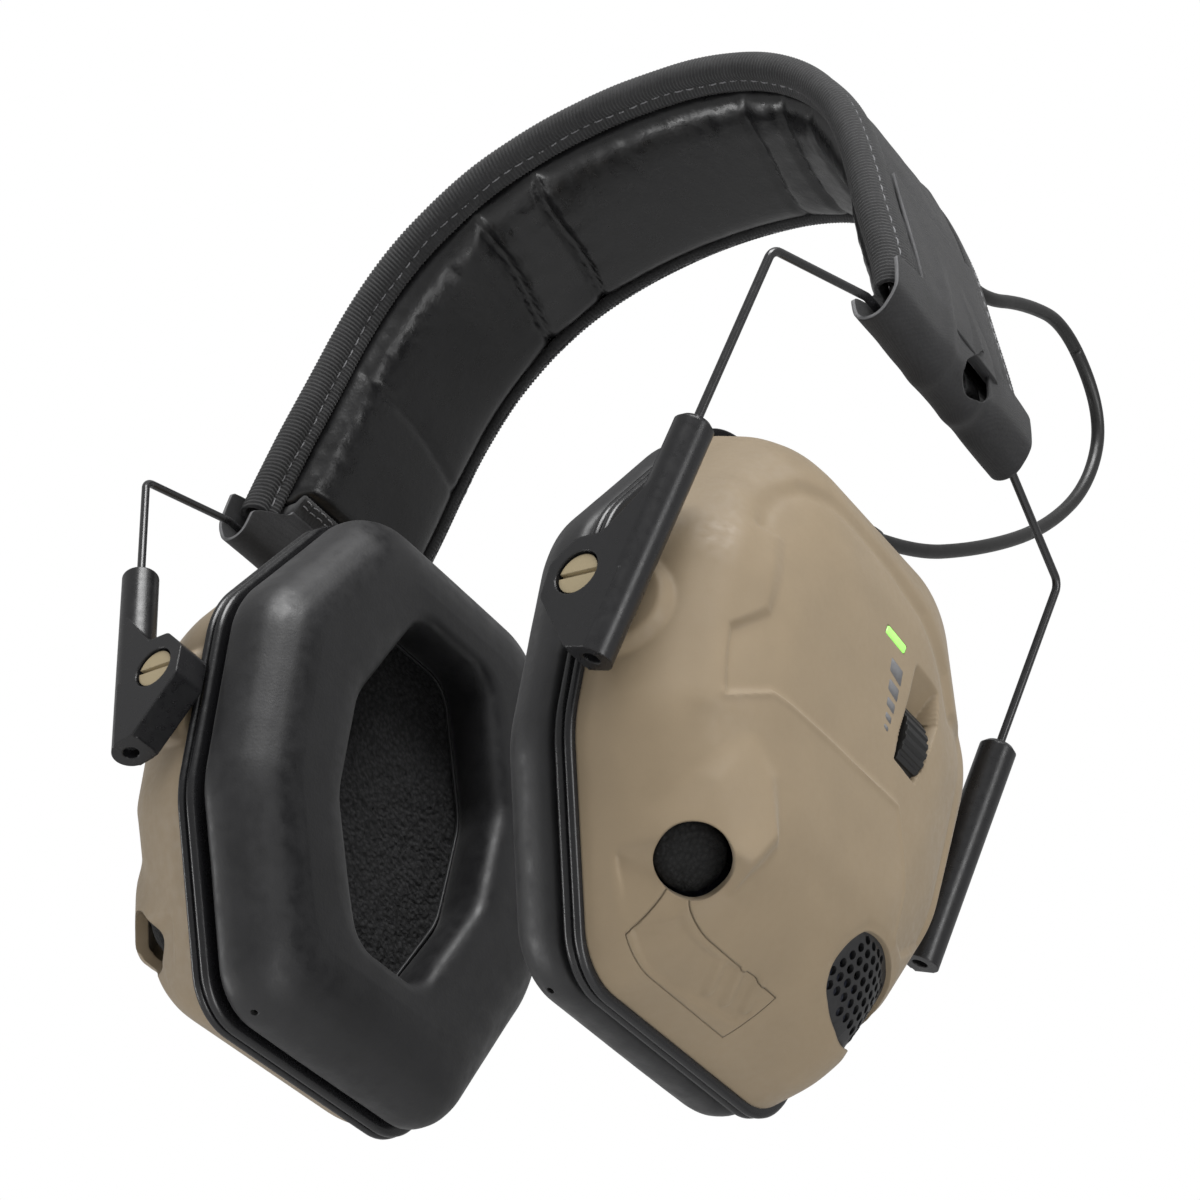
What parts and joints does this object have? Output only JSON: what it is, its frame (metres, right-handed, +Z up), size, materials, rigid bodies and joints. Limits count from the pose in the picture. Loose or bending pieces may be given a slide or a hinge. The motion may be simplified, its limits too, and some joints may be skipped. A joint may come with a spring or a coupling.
{
  "type": "earmuff hearing protector",
  "caption": "Over-ear electronic hearing protector: padded spring headband, wire yokes, sliding arms and padded cups, one with a volume wheel and status light.",
  "frame": {"origin": "middle of the crown pad's inner face, where the head carries the band", "axes": "+Z up through the crown, +X towards the cup with the volume wheel, -Y towards the wearer's front"},
  "size_m": [0.1532, 0.1252, 0.2113],
  "materials": {
    "pad_vinyl": "glossy grained vinyl",
    "pad_foam": "soft foam",
    "outer_cloth": "smooth woven cloth",
    "binding_tape": "ribbed woven tape",
    "spring_steel": "bright rolled strip",
    "cable_jacket": "satin jacket",
    "coated_wire": "glossy black coating",
    "arm_plastic": "glossy moulded",
    "shell_tan": "matte rubberised",
    "pin_tan": "satin moulded",
    "ring_plastic": "glossy moulded",
    "cushion_skin": "soft grained skin",
    "liner_foam": "open-cell foam",
    "inner_plastic": "moulded",
    "screw_steel": "zinc plated",
    "speaker_body": "moulded",
    "boot_rubber": "satin",
    "grille_plastic": "perforated",
    "mic_foam": "open-cell foam",
    "mic_body": "satin can",
    "board_green": "solder mask",
    "battery_sleeve": "printed sleeve",
    "contact_metal": "nickel plated",
    "wheel_rubber": "satin knurled",
    "lens_green": "translucent"
  },
  "bodies": {
    "headband": {"spring_band": "spring_steel", "pad_foam": "pad_foam", "pad_cover": "pad_vinyl", "outer_cover": "outer_cloth", "binding_front": "binding_tape", "binding_rear": "binding_tape", "right_end_binding": "binding_tape", "left_end_binding": "binding_tape", "right_sleeve": "outer_cloth", "left_sleeve": "outer_cloth", "speaker_lead": "cable_jacket"},
    "right_yoke": {"right_yoke_wire": "coated_wire"},
    "right_arms": {"right_front_arm": "arm_plastic", "right_rear_arm": "arm_plastic"},
    "right_cup": {"right_shell": "shell_tan", "right_base_ring": "ring_plastic", "right_shell_screws": "screw_steel", "right_pivot_pins": "pin_tan", "right_cushion": "cushion_skin", "right_cushion_plate": "inner_plastic", "right_foam_liner": "liner_foam", "right_baffle": "inner_plastic", "right_speaker": "speaker_body", "right_lead_boot": "boot_rubber", "right_grille": "grille_plastic", "right_mic_foam": "mic_foam", "right_microphone": "mic_body", "right_circuit_board": "board_green", "right_batteries": "battery_sleeve", "right_battery_contacts": "contact_metal", "right_volume_switch": "inner_plastic", "right_status_lens": "lens_green"},
    "left_yoke": {"left_yoke_wire": "coated_wire"},
    "left_arms": {"left_front_arm": "arm_plastic", "left_rear_arm": "arm_plastic"},
    "left_cup": {"left_shell": "shell_tan", "left_base_ring": "ring_plastic", "left_shell_screws": "screw_steel", "left_pivot_pins": "pin_tan", "left_cushion": "cushion_skin", "left_cushion_plate": "inner_plastic", "left_foam_liner": "liner_foam", "left_baffle": "inner_plastic", "left_speaker": "speaker_body", "left_lead_boot": "boot_rubber", "left_grille": "grille_plastic", "left_mic_foam": "mic_foam", "left_microphone": "mic_body"},
    "volume_wheel": {"right_volume_wheel": "wheel_rubber"},
    "battery_door": {"right_battery_door": "shell_tan"}
  },
  "joints": [
    {"name": "right_yoke_swivel", "type": "hinge", "parent": "headband", "child": "right_yoke", "pos_m": [0.0716, 0, -0.08019], "axis": [0, 1, 0], "range_deg": [-30, 6], "deforming": ["speaker_lead"]},
    {"name": "right_height_slide", "type": "slide", "parent": "right_yoke", "child": "right_arms", "axis": [-0.2807, 0, -0.9598], "range_m": [-0.012, 0.018]},
    {"name": "right_cup_tilt", "type": "hinge", "parent": "right_arms", "child": "right_cup", "pos_m": [0.04457, 0, -0.14699], "axis": [0, 1, 0], "range_deg": [-12, 6]},
    {"name": "left_yoke_swivel", "type": "hinge", "parent": "headband", "child": "left_yoke", "pos_m": [-0.0716, 0, -0.08019], "axis": [0, -1, 0], "range_deg": [-30, 6]},
    {"name": "left_height_slide", "type": "slide", "parent": "left_yoke", "child": "left_arms", "axis": [0.2857, 0, -0.9583], "range_m": [-0.004, 0.026]},
    {"name": "left_cup_tilt", "type": "hinge", "parent": "left_arms", "child": "left_cup", "pos_m": [-0.04656, 0, -0.13899], "axis": [0, -1, 0], "range_deg": [-12, 6]},
    {"name": "volume_turn", "type": "hinge", "parent": "right_cup", "child": "volume_wheel", "pos_m": [0.05751, 0.0123, -0.14295], "axis": [0, 1, 0], "range_deg": [0, 270]},
    {"name": "battery_door_slide", "type": "slide", "parent": "right_cup", "child": "battery_door", "axis": [-0.075, 0, -0.9972], "range_m": [0, 0.012]}
  ]
}
